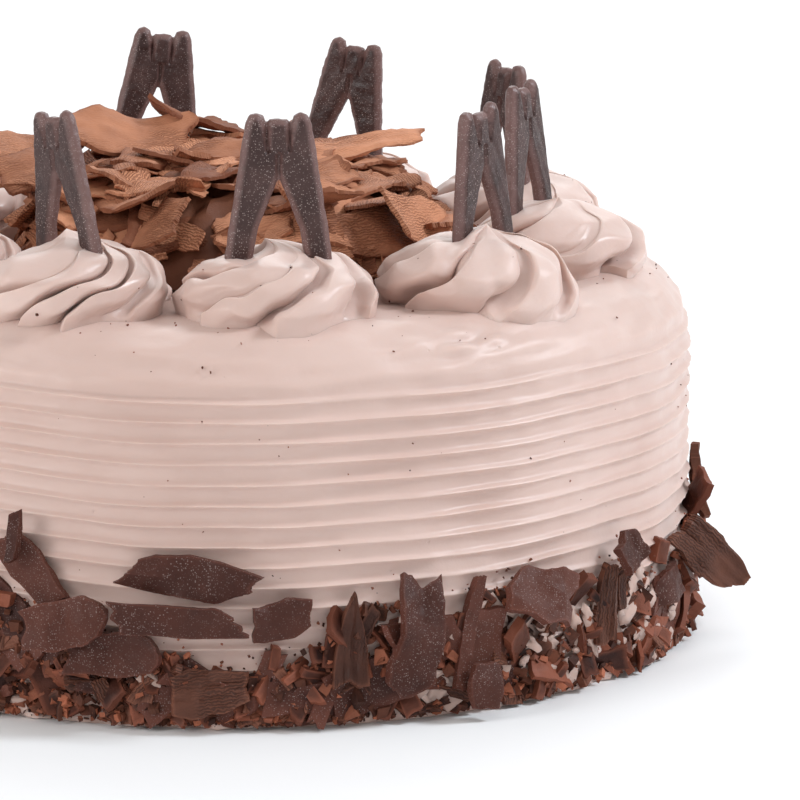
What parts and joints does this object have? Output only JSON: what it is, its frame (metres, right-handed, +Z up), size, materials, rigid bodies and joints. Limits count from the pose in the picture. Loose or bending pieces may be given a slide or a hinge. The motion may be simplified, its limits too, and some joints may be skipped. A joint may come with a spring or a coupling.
{
  "type": "layer cake",
  "caption": "Round frosted layer cake with combed sides, piped rosettes, upright chocolate ornaments, a heap of shavings and chocolate shards round the base.",
  "frame": {"origin": "middle of the flat base, on the surface that the cake stands on", "axes": "+Z up, -Y towards the side that the picture shows, +X to that view's right"},
  "size_m": [0.2537, 0.2487, 0.1434],
  "materials": {
    "side_cream": "soft pinkish mocha whipped cream, combed into fine level ridges",
    "rosette_cream": "piped whipped cream with a soft satin sheen",
    "ornament_chocolate": "moulded dark chocolate, satin, with tiny pale specks of bloom",
    "shaving_chocolate": "matte milk chocolate shavings with fine scrape lines",
    "shard_chocolate": "broken dark chocolate, satin, with fine pale specks"
  },
  "bodies": {
    "root": {"base_shard_01": "shard_chocolate", "base_shard_02": "shard_chocolate", "base_shard_03": "shard_chocolate", "base_shard_04": "shard_chocolate", "base_shard_05": "shard_chocolate", "base_shard_06": "shard_chocolate", "base_shard_07": "shard_chocolate", "base_shard_08": "shard_chocolate", "base_shard_09": "shard_chocolate", "base_shard_10": "shard_chocolate", "base_shard_11": "shard_chocolate", "base_shard_12": "shard_chocolate", "base_shard_13": "shard_chocolate", "base_shard_14": "shard_chocolate", "base_shard_15": "shard_chocolate", "base_shard_16": "shard_chocolate", "base_shard_17": "shard_chocolate", "base_shard_18": "shard_chocolate", "base_shard_19": "shard_chocolate", "base_shard_20": "shard_chocolate", "base_shard_21": "shard_chocolate", "base_shard_22": "shard_chocolate", "base_shard_23": "shard_chocolate", "base_shard_24": "shard_chocolate", "base_shard_25": "shard_chocolate", "base_shard_26": "shard_chocolate", "base_shard_27": "shard_chocolate", "base_shard_28": "shard_chocolate", "base_shard_29": "shard_chocolate", "base_shard_30": "shard_chocolate", "base_shard_31": "shard_chocolate", "base_shard_32": "shard_chocolate", "base_shard_33": "shard_chocolate", "base_shard_34": "shard_chocolate", "base_shard_35": "shard_chocolate", "base_shard_36": "shard_chocolate", "base_shard_37": "shard_chocolate", "base_shard_38": "shard_chocolate", "cake_body": "side_cream", "chocolate_ornament_01": "ornament_chocolate", "chocolate_ornament_02": "ornament_chocolate", "chocolate_ornament_03": "ornament_chocolate", "chocolate_ornament_04": "ornament_chocolate", "chocolate_ornament_05": "ornament_chocolate", "chocolate_ornament_06": "ornament_chocolate", "chocolate_ornament_07": "ornament_chocolate", "chocolate_ornament_08": "ornament_chocolate", "chocolate_ornament_09": "ornament_chocolate", "chocolate_ornament_10": "ornament_chocolate", "cream_rosette_01": "rosette_cream", "cream_rosette_02": "rosette_cream", "cream_rosette_03": "rosette_cream", "cream_rosette_04": "rosette_cream", "cream_rosette_05": "rosette_cream", "cream_rosette_06": "rosette_cream", "cream_rosette_07": "rosette_cream", "cream_rosette_08": "rosette_cream", "cream_rosette_09": "rosette_cream", "cream_rosette_10": "rosette_cream", "shavings_heap": "shaving_chocolate"}
  },
  "joints": []
}
